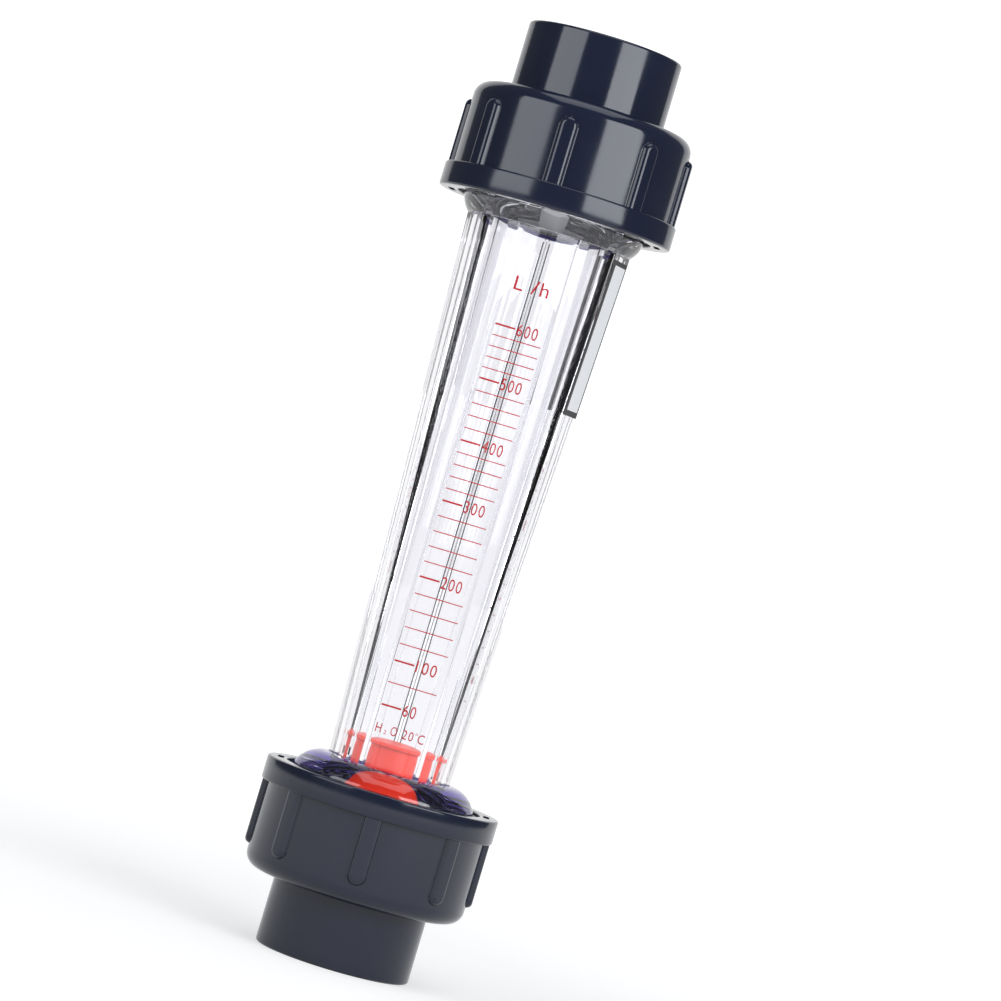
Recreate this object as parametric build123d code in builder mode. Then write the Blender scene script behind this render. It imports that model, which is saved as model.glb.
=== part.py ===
from build123d import *
from math import cos, radians, sin, tan

# Standing plastic-tube rotameter with a union nut and a glue socket at each end.
# Millimetres, +Z up along the flow, origin on the axis at the lower pipe end,
# and the scale faces -Y.

# Driving dimensions: pipe connectors
stub_radius = 16.5
stub_projection = 14.6
stub_edge = 0.7
socket_radius = 10.0
socket_depth = 16.0
socket_lead_in = 0.6
passage_radius = 7.5
flange_thickness = 5.0

# Driving dimensions: union nuts
nut_length = 23.3
nut_wall = 2.6
nut_end_wall = 4.0
nut_end_rounding = 3.2
nut_rounding_bands = 3
collar_rise = 1.5
collar_height = 5.1
collar_edge = 0.4
mouth_slot_inset = 0.75
mouth_slot_width = 1.3
mouth_slot_depth = 1.6
mouth_slot_length = 5.8
grip_count = 8
grip_width = 3.8
grip_length = 14.0
grip_rise = 1.1
grip_edge = 0.6
lower_grip_turn = -90
upper_grip_turn = 84

# Driving dimensions: seals
seal_radius = 16.4
seal_width = 3.2
seal_height = 1.9
seal_groove_width = 3.5
seal_groove_depth = 1.7

# Driving dimensions: measuring tube, from its lower thread to its upper one
tube_length = 151.1
thread_radius = 20.5
thread_length = 12.7
thread_lead_in = 0.6
thread_depth = 1.1
lower_dome_height = 4.0
lower_dome_top_radius = 13.0
lower_dome_bulge = 0.9
upper_dome_height = 3.8
upper_dome_low_radius = 17.5
upper_dome_bulge = 0.3
dome_bands = 4

# Driving dimensions: the ten-sided outside of the tube between its domes
front_half_width = 6.5
side_half_width_low = 13.1
side_half_width_high = 17.6
side_corner_inset = 3.25
side_facet_turn = 71
slant_facet_turn = 39

# Driving dimensions: tapered bore and its three guide ribs
bore_radius_low = 9.2
bore_radius_high = 13.2
guide_count = 3
guide_tip_radius = 8.75
guide_tip_width = 0.24
guide_base_width = 2.3
guide_root_depth = 0.8

# Driving dimensions: float and its steel weight
float_length = 18.8
float_radius = 8.1
float_lip_radius = 8.5
float_lip_height = 0.8
float_waist_radius = 7.95
float_waist_height = 0.9
float_nose_radius = 4.6
float_nose_height = 6.0
float_top_edge = 0.35
weight_radius = 3.2
weight_length = 13.0

# Driving dimensions: float seat below and float stop above
float_travel = 115.0
seat_ring_radius = 12.0
stop_ring_radius = 15.0
ring_wall = 2.2
ring_height = 3.0
spoke_count = 3
spoke_width = 2.0
spoke_height = 2.2
hub_radius = 3.0
hub_nose_edge = 0.6
seat_hub_length = 4.2

# Driving dimensions: label film and printed scale
label_width = 9.2
label_height = 33.6
label_thickness = 0.15
label_below_dome = 1.3
print_thickness = 0.06
major_mark_thickness = 0.32
minor_mark_thickness = 0.18
mark_left = -5.33
major_mark_right = -1.1
minor_mark_right = 4.98

# Heights above the tube's lower end at which the float's lip reads each flow, litres an hour
height_at_60 = 31.04
height_at_80 = 35.73
height_at_100 = 40.43
height_at_200 = 58.38
height_at_300 = 74.63
height_at_400 = 87.54
height_at_500 = 100.83
height_at_600 = 112.36
minor_marks_per_hundred = 4

# Clearances
thread_clearance = 0.4
flange_clearance = 0.6
nut_stub_clearance = 0.3
nut_flange_gap = 0.1
face_gap = 0.35
ring_fit = 0.05
float_rest_gap = 0.25
weight_fit = 0.02

# Radii that follow from the sizes above
nut_bore_radius = thread_radius + thread_clearance
nut_radius = nut_bore_radius + nut_wall
collar_radius = nut_radius + collar_rise
grip_radius = nut_radius + grip_rise
mouth_slot_inner = nut_bore_radius + mouth_slot_inset
flange_radius = nut_bore_radius - flange_clearance
neck_radius = thread_radius - thread_depth

# Levels that follow from the sizes above
connector_length = stub_projection + nut_end_wall + nut_flange_gap + flange_thickness
tube_bottom = connector_length + face_gap
tube_top = tube_bottom + tube_length
overall_height = tube_top + face_gap + connector_length
lower_mouth = stub_projection + nut_length
upper_mouth = overall_height - lower_mouth
body_bottom = lower_mouth + lower_dome_height
body_top = upper_mouth - upper_dome_height
float_bottom = tube_bottom + seat_hub_length + float_rest_gap
float_top = float_bottom + float_length
stop_tip = float_top + float_travel + float_rest_gap

# Planes at the two ends: each looks from its pipe end into the object.
# A grip turn of -90 faces the front on the lower one and 90 on the upper one.
lower_end = Plane.XY
upper_end = Plane(origin=(0, 0, overall_height), x_dir=(1, 0, 0), z_dir=(0, 0, -1))


def half_section(base):
    # Plane through the axis: its x is the radius and its y runs along the axis.
    return Plane(origin=base.origin, x_dir=base.x_dir, z_dir=base.x_dir.cross(base.z_dir))


def curve_corners(start, middle, end, count):
    # Corners along a smooth curve through three points: flat bands keep the facets few.
    corners = []
    for index in range(count + 1):
        t = index / count
        at_start = (1 - t) * (1 - 2 * t)
        at_middle = 4 * t * (1 - t)
        at_end = t * (2 * t - 1)
        x = at_start * start[0] + at_middle * middle[0] + at_end * end[0]
        y = at_start * start[1] + at_middle * middle[1] + at_end * end[1]
        corners.append((x, y))
    return corners


def outward_plane(base, angle, radius, height):
    # Plane that faces away from the axis: its y runs along the axis.
    turned = base.rotated((0, 0, angle))
    origin = turned.origin + turned.x_dir * radius + turned.z_dir * height
    return Plane(origin=origin, x_dir=turned.z_dir.cross(turned.x_dir), z_dir=turned.x_dir)


def between(low, high, level):
    # A size that changes evenly up the tapered body, at one level.
    share = (level - body_bottom) / (body_top - body_bottom)
    return low + (high - low) * share


def side_half_width(level):
    return between(side_half_width_low, side_half_width_high, level)


def bore_radius(level):
    return between(bore_radius_low, bore_radius_high, level)


side_corner_depth = side_corner_inset * tan(radians(side_facet_turn))


def front_depth(level):
    # Distance from the axis to the flat front that carries the scale.
    slant_run = side_half_width(level) - side_corner_inset - front_half_width
    return side_corner_depth + slant_run * tan(radians(slant_facet_turn))


def body_outline(level):
    # Corners of the ten-sided section, from the right-hand side round to the back.
    side = side_half_width(level)
    corner = side - side_corner_inset
    depth = front_depth(level)
    right = [
        (front_half_width, -depth),
        (corner, -side_corner_depth),
        (side, 0),
        (corner, side_corner_depth),
        (front_half_width, depth),
    ]
    left = [(-x, y) for x, y in reversed(right)]
    return right + left


def make_connector(base):
    # Turned body: pipe socket outside, narrower passage, flange and seal groove inside.
    flange_start = connector_length - flange_thickness
    with BuildPart() as connector:
        with BuildSketch(half_section(base)):
            with BuildLine():
                Polyline(
                    (passage_radius, socket_depth),
                    (socket_radius, socket_depth),
                    (socket_radius, socket_lead_in),
                    (socket_radius + socket_lead_in, 0),
                    (stub_radius - stub_edge, 0),
                    (stub_radius, stub_edge),
                    (stub_radius, flange_start),
                    (flange_radius, flange_start),
                    (flange_radius, connector_length),
                    (passage_radius, connector_length),
                    close=True,
                )
            make_face()
        revolve(axis=Axis.Z)
        with BuildSketch(base.offset(connector_length)):
            Circle(seal_radius + seal_groove_width / 2)
            Circle(seal_radius - seal_groove_width / 2, mode=Mode.SUBTRACT)
        extrude(amount=-seal_groove_depth, mode=Mode.SUBTRACT)
    return connector


def make_seal(base):
    # Seal ring that lies in the flange's groove and stands a little proud of it.
    centre_height = connector_length - seal_groove_depth + seal_height / 2
    with BuildPart() as seal:
        with BuildSketch(half_section(base)):
            with Locations((seal_radius, centre_height)):
                Rectangle(seal_width, seal_height)
        revolve(axis=Axis.Z)
    return seal


def make_nut(base, grip_turn):
    # Union nut: end wall round the stub, grip ribs, and a slotted collar at the open mouth.
    hole_radius = stub_radius + nut_stub_clearance
    end_face = base.offset(stub_projection)
    collar_start = nut_length - collar_height
    rounding_start = nut_radius - nut_end_rounding
    rounding_middle = (
        rounding_start + nut_end_rounding * sin(radians(45)),
        nut_end_rounding - nut_end_rounding * cos(radians(45)),
    )
    rounding = curve_corners(
        (rounding_start, 0), rounding_middle, (nut_radius, nut_end_rounding), nut_rounding_bands
    )
    with BuildPart() as nut:
        with BuildSketch(half_section(end_face)):
            with BuildLine():
                Polyline(
                    (hole_radius, 0),
                    *rounding,
                    (nut_radius, collar_start),
                    (collar_radius - collar_edge, collar_start),
                    (collar_radius, collar_start + collar_edge),
                    (collar_radius, nut_length - collar_edge),
                    (collar_radius - collar_edge, nut_length),
                    (nut_bore_radius, nut_length),
                    (nut_bore_radius, nut_end_wall),
                    (hole_radius, nut_end_wall),
                    close=True,
                )
            make_face()
        revolve(axis=Axis.Z)

    # One grip rib with a round lower end, rooted in the nut's wall
    rib_root = (nut_bore_radius + nut_radius) / 2
    rib_centre = collar_start - grip_length / 2
    rib_plane = outward_plane(end_face, grip_turn, rib_root, rib_centre)
    with BuildPart() as grip:
        with BuildSketch(rib_plane):
            with Locations((0, grip_width / 4)):
                Rectangle(grip_width, grip_length - grip_width / 2)
            with Locations((0, grip_width / 2 - grip_length / 2)):
                Circle(grip_width / 2)
        extrude(amount=grip_radius - rib_root)
        outer_face = grip.faces().sort_by(Axis(rib_plane.origin, rib_plane.z_dir))[-1]
        chamfer(outer_face.edges(), grip_edge)

    # One short slot in the mouth, behind the rib
    slot_middle = nut_length - mouth_slot_depth / 2
    with BuildPart() as slot:
        with BuildSketch(outward_plane(end_face, grip_turn, mouth_slot_inner, slot_middle)):
            Rectangle(mouth_slot_length, mouth_slot_depth)
        extrude(amount=mouth_slot_width)

    with BuildPart() as gripped:
        add(nut.part)
        with PolarLocations(0, grip_count):
            add(grip.part)
        with PolarLocations(0, grip_count):
            add(slot.part, mode=Mode.SUBTRACT)
    return gripped


def make_spider(base, outer_radius, hub_length):
    # Ring with spokes that carry a round hub: the float's seat, or its stop.
    with BuildPart() as spider:
        with BuildSketch(base):
            Circle(outer_radius)
            Circle(outer_radius - ring_wall, mode=Mode.SUBTRACT)
        extrude(amount=ring_height)
        with BuildSketch(base):
            with PolarLocations(outer_radius / 2 - ring_wall / 4, spoke_count, start_angle=30):
                Rectangle(outer_radius - ring_wall / 2, spoke_width)
        extrude(amount=spoke_height)
        with BuildSketch(base):
            Circle(hub_radius)
        extrude(amount=hub_length)
        far_face = spider.faces().sort_by(Axis(base.origin, base.z_dir))[-1]
        hub_rim = far_face.edges().filter_by(GeomType.CIRCLE).sort_by(SortBy.RADIUS)[0]
        chamfer(hub_rim, hub_nose_edge)
    return spider


# Measuring tube: one clear moulding with a thread and a dome at each end
with BuildPart() as measuring_tube:
    with BuildSketch(Plane.XY.offset(body_bottom - lower_dome_height)) as low_outline:
        Polygon(*body_outline(body_bottom - lower_dome_height), align=None)
    with BuildSketch(Plane.XY.offset(body_top)) as high_outline:
        Polygon(*body_outline(body_top), align=None)
    loft(ruled=True)

    lower_dome_middle = (
        (neck_radius + lower_dome_top_radius) / 2 + lower_dome_bulge,
        lower_mouth + lower_dome_height / 2 + lower_dome_bulge,
    )
    lower_dome = curve_corners(
        (neck_radius, lower_mouth), lower_dome_middle, (lower_dome_top_radius, body_bottom), dome_bands
    )
    with BuildSketch(Plane.XZ) as lower_shoulder:
        with BuildLine():
            Polyline(
                (0, body_bottom),
                (0, tube_bottom),
                (thread_radius - thread_lead_in, tube_bottom),
                (thread_radius, tube_bottom + thread_lead_in),
                (thread_radius, tube_bottom + thread_length),
                (neck_radius, tube_bottom + thread_length),
                *lower_dome,
                close=True,
            )
        make_face()
    revolve(axis=Axis.Z)

    upper_dome_middle = (
        (neck_radius + upper_dome_low_radius) / 2 + upper_dome_bulge,
        upper_mouth - upper_dome_height / 2 - upper_dome_bulge,
    )
    upper_dome = curve_corners(
        (neck_radius, upper_mouth), upper_dome_middle, (upper_dome_low_radius, body_top), dome_bands
    )
    with BuildSketch(Plane.XZ) as upper_shoulder:
        with BuildLine():
            Polyline(
                (0, body_top),
                (0, tube_top),
                (thread_radius - thread_lead_in, tube_top),
                (thread_radius, tube_top - thread_lead_in),
                (thread_radius, tube_top - thread_length),
                (neck_radius, tube_top - thread_length),
                *upper_dome,
                close=True,
            )
        make_face()
    revolve(axis=Axis.Z)

    # Tapered bore, wider at the top, through the whole length
    with BuildSketch(Plane.XZ) as bore_section:
        with BuildLine():
            Polyline(
                (0, tube_bottom),
                (bore_radius(tube_bottom), tube_bottom),
                (bore_radius(tube_top), tube_top),
                (0, tube_top),
                close=True,
            )
        make_face()
    revolve(axis=Axis.Z, mode=Mode.SUBTRACT)

    # Round recesses in the end faces for the seat's and the stop's rings
    with BuildSketch(Plane.XY.offset(tube_bottom)):
        Circle(seat_ring_radius + ring_fit)
    extrude(amount=ring_height, mode=Mode.SUBTRACT)
    with BuildSketch(Plane.XY.offset(tube_top)):
        Circle(stop_ring_radius + ring_fit)
    extrude(amount=-ring_height, mode=Mode.SUBTRACT)

# Guide ribs: ridges whose tips stay one distance from the axis while the bore widens
guide_start = body_bottom
guide_end = tube_top - ring_height


def guide_outline(level):
    wall = bore_radius(level)
    root = wall + guide_root_depth
    right = [
        (guide_tip_width / 2, guide_tip_radius),
        (guide_base_width / 2, wall),
        (guide_base_width / 2, root),
    ]
    left = [(-x, y) for x, y in reversed(right)]
    return right + left


with BuildPart() as guide:
    with BuildSketch(Plane.XY.offset(guide_start)):
        Polygon(*guide_outline(guide_start), align=None)
    with BuildSketch(Plane.XY.offset(guide_end)):
        Polygon(*guide_outline(guide_end), align=None)
    loft(ruled=True)

with BuildPart() as ribbed_tube:
    add(measuring_tube.part)
    with PolarLocations(0, guide_count):
        add(guide.part)
ribbed_tube.part.label = "measuring_tube"
export_step(ribbed_tube.part, "parts/measuring_tube.step")

# Float: red plug with a reading lip at its top, drilled from below for the weight
with BuildPart() as float_body:
    lip_bottom = float_top - float_lip_height
    with BuildSketch(Plane.XZ):
        with BuildLine():
            Polyline(
                (0, float_bottom),
                (float_nose_radius, float_bottom),
                (float_radius, float_bottom + float_nose_height),
                (float_radius, lip_bottom - 2 * float_waist_height),
                (float_waist_radius, lip_bottom - float_waist_height),
                (float_waist_radius, lip_bottom),
                (float_lip_radius, lip_bottom),
                (float_lip_radius, float_top - float_top_edge),
                (float_lip_radius - float_top_edge, float_top),
                (0, float_top),
                close=True,
            )
        make_face()
    revolve(axis=Axis.Z)
    with BuildSketch(Plane.XY.offset(float_bottom)):
        Circle(weight_radius + weight_fit)
    extrude(amount=weight_length, mode=Mode.SUBTRACT)
float_body.part.label = "float_body"
export_step(float_body.part, "parts/float_body.step")

# Weight: steel slug pushed into the float
with BuildPart() as float_weight:
    with BuildSketch(Plane.XY.offset(float_bottom)):
        Circle(weight_radius)
    extrude(amount=weight_length)
float_weight.part.label = "float_weight"
export_step(float_weight.part, "parts/float_weight.step")

# Seat that the float stands on with no flow, and the stop above its travel
seat = make_spider(lower_end.offset(tube_bottom), seat_ring_radius, seat_hub_length)
seat.part.label = "lower_float_seat"
export_step(seat.part, "parts/lower_float_seat.step")

stop_base = upper_end.offset(overall_height - tube_top)
stop = make_spider(stop_base, stop_ring_radius, tube_top - stop_tip)
stop.part.label = "upper_float_stop"
export_step(stop.part, "parts/upper_float_stop.step")

# The same connector, seal and nut at each end, the upper set turned over
for end_name, base, grip_turn in (
    ("lower", lower_end, lower_grip_turn),
    ("upper", upper_end, upper_grip_turn),
):
    connector = make_connector(base)
    connector.part.label = f"{end_name}_connector"
    export_step(connector.part, f"parts/{end_name}_connector.step")

    seal = make_seal(base)
    seal.part.label = f"{end_name}_seal_ring"
    export_step(seal.part, f"parts/{end_name}_seal_ring.step")

    nut = make_nut(base, grip_turn)
    nut.part.label = f"{end_name}_union_nut"
    export_step(nut.part, f"parts/{end_name}_union_nut.step")

# Label: thin film on the right-hand side facet, high on the tube
label_level = body_top - label_below_dome - label_height / 2
facet_middle = Vector(
    side_half_width(label_level) - side_corner_inset / 2,
    -side_corner_depth / 2,
    label_level,
)
facet_across = Vector(side_corner_inset, side_corner_depth, 0).normalized()
body_lean = (side_half_width_high - side_half_width_low) / (body_top - body_bottom)
facet_up = Vector(body_lean, 0, 1)
facet_plane = Plane(origin=facet_middle, x_dir=facet_across, z_dir=facet_across.cross(facet_up))
with BuildPart() as side_label:
    with BuildSketch(facet_plane):
        Rectangle(label_width, label_height)
    extrude(amount=label_thickness)
side_label.part.label = "side_label"
export_step(side_label.part, "parts/side_label.step")

# Scale: printed bars on the flat front, long thin ones between short thick ones
front_lean = (front_depth(body_top) - front_depth(body_bottom)) / (body_top - body_bottom)
front_plane = Plane(
    origin=(0, -front_depth(tube_bottom), tube_bottom),
    x_dir=(1, 0, 0),
    z_dir=Vector(0, -1, -front_lean),
)
front_stretch = (1 + front_lean**2) ** 0.5
hundreds = [
    height_at_100,
    height_at_200,
    height_at_300,
    height_at_400,
    height_at_500,
    height_at_600,
]
major_heights = [height_at_60] + hundreds
minor_heights = [height_at_80]
for low, high in zip(hundreds, hundreds[1:]):
    step = (high - low) / (minor_marks_per_hundred + 1)
    for index in range(minor_marks_per_hundred):
        minor_heights.append(low + step * (index + 1))

with BuildPart() as scale_marks:
    with BuildSketch(front_plane):
        major_width = major_mark_right - mark_left
        for height in major_heights:
            with Locations((mark_left + major_width / 2, height * front_stretch)):
                Rectangle(major_width, major_mark_thickness)
        minor_width = minor_mark_right - mark_left
        for height in minor_heights:
            with Locations((mark_left + minor_width / 2, height * front_stretch)):
                Rectangle(minor_width, minor_mark_thickness)
    extrude(amount=print_thickness)
scale_marks.part.label = "scale_marks"
export_step(scale_marks.part, "parts/scale_marks.step")
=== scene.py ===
import bmesh
import bpy
from math import atan2, cos, hypot, pi, radians, sin, sqrt, tan
from mathutils import Matrix, Vector


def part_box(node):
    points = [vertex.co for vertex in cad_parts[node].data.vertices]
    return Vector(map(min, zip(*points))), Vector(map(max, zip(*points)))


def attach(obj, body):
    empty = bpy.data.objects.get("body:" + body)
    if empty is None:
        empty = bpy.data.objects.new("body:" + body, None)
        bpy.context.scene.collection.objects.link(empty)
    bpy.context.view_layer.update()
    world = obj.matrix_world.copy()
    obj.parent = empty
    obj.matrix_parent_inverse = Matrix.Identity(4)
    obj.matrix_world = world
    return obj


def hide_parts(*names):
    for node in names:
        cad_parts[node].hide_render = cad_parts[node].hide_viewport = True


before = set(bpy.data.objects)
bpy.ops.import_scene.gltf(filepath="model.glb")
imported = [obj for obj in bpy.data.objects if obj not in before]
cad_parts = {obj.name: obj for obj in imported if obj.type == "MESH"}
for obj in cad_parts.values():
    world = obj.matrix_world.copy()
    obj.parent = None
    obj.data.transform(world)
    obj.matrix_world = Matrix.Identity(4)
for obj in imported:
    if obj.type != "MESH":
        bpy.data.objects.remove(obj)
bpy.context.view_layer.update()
mm = 0.001
fullTurn = 2 * pi


def spanOf(node):
    low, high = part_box(node)
    return low[2] / mm, high[2] / mm


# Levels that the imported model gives, in millimetres above the floor
tubeBottom, tubeTop = spanOf("measuring_tube")
lowerMouth = spanOf("lower_union_nut")[1]
upperMouth = spanOf("upper_union_nut")[0]
floatBottom, floatTop = spanOf("float_body")
lowerStubEnd, lowerFlangeTop = spanOf("lower_connector")
upperStubEnd = spanOf("upper_connector")[1]
print("frame: tube from %.2f to %.2f mm, float top at %.2f mm" % (tubeBottom, tubeTop, floatTop))


# Mesh helpers: everything is modelled in millimetres and scaled once, at the end

def roundedOutline(corners, steps=4):
    # corners are (radius, height, rounding); each rounded corner becomes an arc
    points = []
    for index, (x, y, rounding) in enumerate(corners):
        corner = Vector((x, y))
        if not rounding:
            points.append(corner)
            continue
        before = Vector(corners[index - 1][:2]) - corner
        after = Vector(corners[(index + 1) % len(corners)][:2]) - corner
        before.normalize()
        after.normalize()
        half = before.angle(after) / 2
        centre = corner + (before + after).normalized() * rounding / sin(half)
        start = corner + before * rounding / tan(half) - centre
        end = corner + after * rounding / tan(half) - centre
        sweep = start.angle_signed(end)
        for step in range(steps + 1):
            points.append(centre + Matrix.Rotation(-sweep * step / steps, 2) @ start)
    return points


def withRows(start, end, spacing):
    # Points from start up to, but not including, end
    start = Vector(start)
    end = Vector(end)
    count = max(1, round((end - start).length / spacing))
    return [start.lerp(end, step / count) for step in range(count)]


def arcThrough(first, middle, last, count):
    # Points on the circle through three points, ends included
    first, middle, last = Vector(first), Vector(middle), Vector(last)
    a = middle - first
    b = last - first
    cross = 2 * (a.x * b.y - a.y * b.x)
    centre = first + Vector((
        (b.y * a.length_squared - a.y * b.length_squared) / cross,
        (a.x * b.length_squared - b.x * a.length_squared) / cross,
    ))
    spoke = first - centre
    sweep = spoke.angle_signed(last - centre)
    return [centre + Matrix.Rotation(-sweep * step / count, 2) @ spoke for step in range(count + 1)]


def turned(outline, steps=160):
    # Closed outline of (radius, height) points spun round the axis
    bm = bmesh.new()
    verts = [bm.verts.new((point[0], 0, point[1])) for point in outline]
    edges = [bm.edges.new((verts[index - 1], vert)) for index, vert in enumerate(verts)]
    bmesh.ops.spin(
        bm, geom=verts + edges, cent=(0, 0, 0), axis=(0, 0, 1), angle=fullTurn,
        steps=steps, use_merge=True, use_normal_flip=False, use_duplicate=False,
    )
    bmesh.ops.remove_doubles(bm, verts=bm.verts, dist=0.0005)
    bmesh.ops.dissolve_degenerate(bm, edges=bm.edges, dist=0.0001)
    bmesh.ops.recalc_face_normals(bm, faces=bm.faces)
    return bm


def loftedBar(lowSection, lowLevel, highSection, highLevel, bm=None):
    # Straight bar between two like sections of (x, y) points
    bm = bm or bmesh.new()
    loops = []
    for section, level in ((lowSection, lowLevel), (highSection, highLevel)):
        face = bm.faces.new([bm.verts.new((x, y, level)) for x, y in section])
        loops += list(face.edges)
    bmesh.ops.bridge_loops(bm, edges=loops)
    bmesh.ops.recalc_face_normals(bm, faces=bm.faces)
    return bm


def asObject(bm, name):
    mesh = bpy.data.meshes.new(name)
    bm.to_mesh(mesh)
    bm.free()
    piece = bpy.data.objects.new(name, mesh)
    bpy.context.collection.objects.link(piece)
    return piece


def settle(piece):
    # Applies the modifiers and drops them
    graph = bpy.context.evaluated_depsgraph_get()
    mesh = bpy.data.meshes.new_from_object(piece.evaluated_get(graph))
    piece.modifiers.clear()
    old = piece.data
    piece.data = mesh
    bpy.data.meshes.remove(old)


def combine(piece, tool, operation):
    change = piece.modifiers.new("combine", "BOOLEAN")
    change.operation = operation
    change.solver = "EXACT"
    change.object = tool
    settle(piece)
    bpy.data.objects.remove(tool)


def finishPiece(piece, body, material, node=None, sharp=30, flatAreas=False, second=None):
    mesh = piece.data
    mesh.transform(Matrix.Scale(mm, 4))
    mesh.polygons.foreach_set("use_smooth", [True] * len(mesh.polygons))
    mesh.set_sharp_from_angle(angle=radians(sharp))
    mesh.materials.append(material)
    if second:
        mesh.materials.append(second)
    if flatAreas:
        level = piece.modifiers.new("flatAreas", "WEIGHTED_NORMAL")
        level.keep_sharp = True
        level.weight = 80
        settle(piece)
    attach(piece, body)
    if node:
        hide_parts(node)
    return piece


# Shader helpers

def newMaterial(name):
    material = bpy.data.materials.new(name)
    material.use_nodes = True
    tree = material.node_tree
    return material, tree, tree.nodes["Principled BSDF"]


def fill(tree, entry, value):
    # An entry takes either another node's socket or a plain number
    if isinstance(value, bpy.types.NodeSocket):
        tree.links.new(value, entry)
    else:
        entry.default_value = value


def mathNode(tree, operation, first, second):
    node = tree.nodes.new("ShaderNodeMath")
    node.operation = operation
    fill(tree, node.inputs[0], first)
    fill(tree, node.inputs[1], second)
    return node.outputs[0]


def rangeNode(tree, value, fromLow, fromHigh, toLow, toHigh):
    node = tree.nodes.new("ShaderNodeMapRange")
    fill(tree, node.inputs["Value"], value)
    fill(tree, node.inputs["From Min"], fromLow)
    fill(tree, node.inputs["From Max"], fromHigh)
    fill(tree, node.inputs["To Min"], toLow)
    fill(tree, node.inputs["To Max"], toHigh)
    return node.outputs["Result"]


def mouldedSkinGroup():
    # Cloudy tone, uneven gloss and a faint ripple, as moulded plastic has
    group = bpy.data.node_groups.new("mouldedSkin", "ShaderNodeTree")
    for name, start in (
        ("Tone Scale", 60), ("Ripple Scale", 900), ("Ripple", 0.1), ("Gloss Low", 0.2), ("Gloss High", 0.3),
    ):
        socket = group.interface.new_socket(name=name, in_out="INPUT", socket_type="NodeSocketFloat")
        socket.default_value = start
    group.interface.new_socket(name="Tone", in_out="OUTPUT", socket_type="NodeSocketFloat")
    group.interface.new_socket(name="Roughness", in_out="OUTPUT", socket_type="NodeSocketFloat")
    group.interface.new_socket(name="Normal", in_out="OUTPUT", socket_type="NodeSocketVector")
    nodes, links = group.nodes, group.links
    entry = nodes.new("NodeGroupInput")
    leave = nodes.new("NodeGroupOutput")
    place = nodes.new("ShaderNodeTexCoord")
    tone = nodes.new("ShaderNodeTexNoise")
    tone.inputs["Detail"].default_value = 5
    ripple = nodes.new("ShaderNodeTexNoise")
    ripple.inputs["Detail"].default_value = 2
    lowGloss, highGloss = entry.outputs["Gloss Low"], entry.outputs["Gloss High"]
    gloss = rangeNode(group, tone.outputs["Fac"], 0.3, 0.7, lowGloss, highGloss)
    bump = nodes.new("ShaderNodeBump")
    bump.inputs["Distance"].default_value = 0.00005
    links.new(place.outputs["Object"], tone.inputs["Vector"])
    links.new(place.outputs["Object"], ripple.inputs["Vector"])
    links.new(entry.outputs["Tone Scale"], tone.inputs["Scale"])
    links.new(entry.outputs["Ripple Scale"], ripple.inputs["Scale"])
    links.new(entry.outputs["Ripple"], bump.inputs["Strength"])
    links.new(ripple.outputs["Fac"], bump.inputs["Height"])
    links.new(tone.outputs["Fac"], leave.inputs["Tone"])
    links.new(gloss, leave.inputs["Roughness"])
    links.new(bump.outputs["Normal"], leave.inputs["Normal"])
    return group


mouldedSkin = mouldedSkinGroup()


def plastic(name, dark, light, glossLow, glossHigh, ripple=0.1, rippleScale=900, toneScale=60, extra=None):
    material, tree, shader = newMaterial(name)
    skin = tree.nodes.new("ShaderNodeGroup")
    skin.node_tree = mouldedSkin
    skin.inputs["Tone Scale"].default_value = toneScale
    skin.inputs["Ripple Scale"].default_value = rippleScale
    skin.inputs["Ripple"].default_value = ripple
    skin.inputs["Gloss Low"].default_value = glossLow
    skin.inputs["Gloss High"].default_value = glossHigh
    blend = tree.nodes.new("ShaderNodeMix")
    blend.data_type = "RGBA"
    blend.inputs["A"].default_value = (*dark, 1)
    blend.inputs["B"].default_value = (*light, 1)
    tree.links.new(skin.outputs["Tone"], blend.inputs["Factor"])
    tree.links.new(blend.outputs["Result"], shader.inputs["Base Color"])
    tree.links.new(skin.outputs["Roughness"], shader.inputs["Roughness"])
    tree.links.new(skin.outputs["Normal"], shader.inputs["Normal"])
    for socket, value in (extra or {}).items():
        shader.inputs[socket].default_value = value
    return material


darkPlastic = plastic("darkPlastic", (0.009, 0.013, 0.03), (0.013, 0.018, 0.04), 0.09, 0.16, ripple=0.05)
redPlastic = plastic(
    "redPlastic", (0.62, 0.02, 0.006), (0.76, 0.03, 0.01), 0.35, 0.5, extra={"Specular IOR Level": 0.2}
)
whitePlastic = plastic("whitePlastic", (0.72, 0.73, 0.74), (0.82, 0.82, 0.83), 0.35, 0.5)
violetPlastic = plastic("violetPlastic", (0.1, 0.06, 0.5), (0.15, 0.09, 0.62), 0.3, 0.45)
sealRubber = plastic("sealRubber", (0.09, 0.05, 0.5), (0.14, 0.08, 0.62), 0.4, 0.55)
redInk = plastic("redInk", (0.52, 0.008, 0.014), (0.6, 0.012, 0.02), 0.4, 0.5, ripple=0.02)
whiteFilm = plastic("whiteFilm", (0.9, 0.9, 0.91), (0.94, 0.94, 0.95), 0.3, 0.4, ripple=0.05)
blackFilm = plastic(
    "blackFilm", (0.008, 0.008, 0.01), (0.014, 0.014, 0.018), 0.3, 0.4, ripple=0.05,
    extra={"Specular IOR Level": 0.12},
)
turnedSteel = plastic(
    "turnedSteel", (0.5, 0.5, 0.52), (0.62, 0.62, 0.64), 0.2, 0.35, ripple=0.2, extra={"Metallic": 1.0}
)
clearPlastic = plastic(
    "clearPlastic", (0.95, 0.948, 0.975), (0.965, 0.963, 0.985), 0.0, 0.01, ripple=0.0,
    extra={"Transmission Weight": 1.0, "IOR": 1.57},
)
print("materials: %d" % len(bpy.data.materials))


# Measuring tube

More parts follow.
